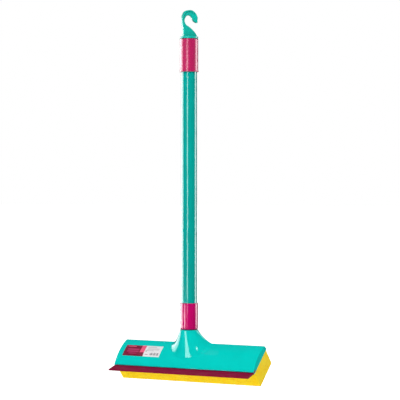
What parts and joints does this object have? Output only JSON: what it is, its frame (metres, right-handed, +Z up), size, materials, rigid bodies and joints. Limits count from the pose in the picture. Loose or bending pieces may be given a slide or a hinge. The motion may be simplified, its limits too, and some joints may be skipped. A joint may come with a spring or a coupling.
{
  "type": "window cleaning squeegee",
  "caption": "Hand window cleaner: coated tube handle with a swivelling hang-up hook, and a screw-on tilted head with a rubber blade in front and a sponge block beneath.",
  "frame": {"origin": "the highest point inside the hook, where it rests on a peg, on the handle's axis", "axes": "+Z up along the handle, +X along the head, -Y towards the blade's side"},
  "size_m": [0.25, 0.0806, 0.5849],
  "materials": {
    "hook_plastic": "moulded teal plastic, slightly softened gloss",
    "bush_plastic": "natural white moulded plastic",
    "grip_plastic": "soft satin magenta plastic",
    "tube_steel": "rolled thin steel",
    "tube_plastic": "glossy teal plastic skin",
    "collar_plastic": "polished magenta plastic",
    "ring_rubber": "dark soft rubber",
    "shell_plastic": "polished turquoise plastic",
    "plate_plastic": "plain turquoise plastic",
    "sponge_foam": "open-pored yellow foam",
    "blade_rubber": "satin crimson rubber",
    "label_film": null
  },
  "bodies": {
    "hook": {"hook_cap": "hook_plastic"},
    "handle": {"hook_bush": "bush_plastic", "grip_sleeve": "grip_plastic", "steel_tube": "tube_steel", "tube_coating": "tube_plastic", "screw_coupling": "collar_plastic"},
    "ring": {"seal_ring": "ring_rubber"},
    "head": {"head_shell": "shell_plastic", "sponge_plate": "plate_plastic", "sponge": "sponge_foam", "label": "label_film"},
    "wiper": {"blade": "blade_rubber"}
  },
  "joints": [
    {"name": "hook_swivel", "type": "hinge", "parent": "hook", "child": "handle", "pos_m": [0, 0, -0.0369], "axis": [0, 0, 1], "continuous": true},
    {"name": "head_unscrew", "type": "hinge", "parent": "handle", "child": "ring", "pos_m": [0, 0, -0.4932], "axis": [0, 0, -1], "range_deg": [0, 1350]},
    {"name": "head_drop", "type": "slide", "parent": "ring", "child": "head", "axis": [0, 0, -1], "range_m": [0, 0.01874]},
    {"name": "blade_slide", "type": "slide", "parent": "head", "child": "wiper", "axis": [1, 0, 0], "range_m": [0, 0.24]}
  ],
  "couplings": [
    {"joint": "head_unscrew", "follows": "head_drop", "rad_per_m": 1256.6}
  ]
}
